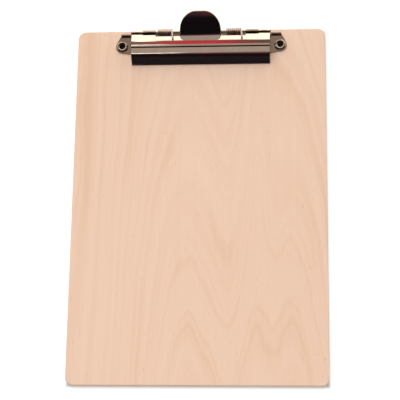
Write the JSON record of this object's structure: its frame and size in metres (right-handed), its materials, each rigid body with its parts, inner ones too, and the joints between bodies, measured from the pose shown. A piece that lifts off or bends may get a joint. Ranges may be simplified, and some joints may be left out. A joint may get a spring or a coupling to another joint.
{
  "type": "clipboard",
  "caption": "Wooden clipboard with a hinged, spring-loaded metal clip with a thumb tab, held by hollow eyelets near the top edge.",
  "frame": {"origin": "centre of the board's back face", "axes": "+X across the board, +Y along it towards the clip, +Z out of the writing face"},
  "size_m": [0.16, 0.2387, 0.0202],
  "materials": {
    "plywood": "satin, pale birch face",
    "plate_metal": "bright nickel plate",
    "eyelet_metal": "bright nickel plate",
    "pin_metal": "bright nickel plate",
    "spring_wire": "bright plated spring wire",
    "jaw_metal": "mirror-bright nickel plate"
  },
  "bodies": {
    "base": {"board": "plywood", "base_plate": "plate_metal", "eyelet_left": "eyelet_metal", "eyelet_right": "eyelet_metal", "hinge_pin": "pin_metal", "spring_left": "spring_wire", "spring_right": "spring_wire"},
    "jaw": {"jaw": "jaw_metal"}
  },
  "joints": [
    {"name": "jaw_hinge", "type": "hinge", "parent": "base", "child": "jaw", "pos_m": [0, 0.1117, 0.0095], "axis": [-1, 0, 0], "range_deg": [0, 45], "stiffness_Nm_per_rad": 0.12, "springref_deg": -80.21, "deforming": ["spring_left", "spring_right"]}
  ]
}
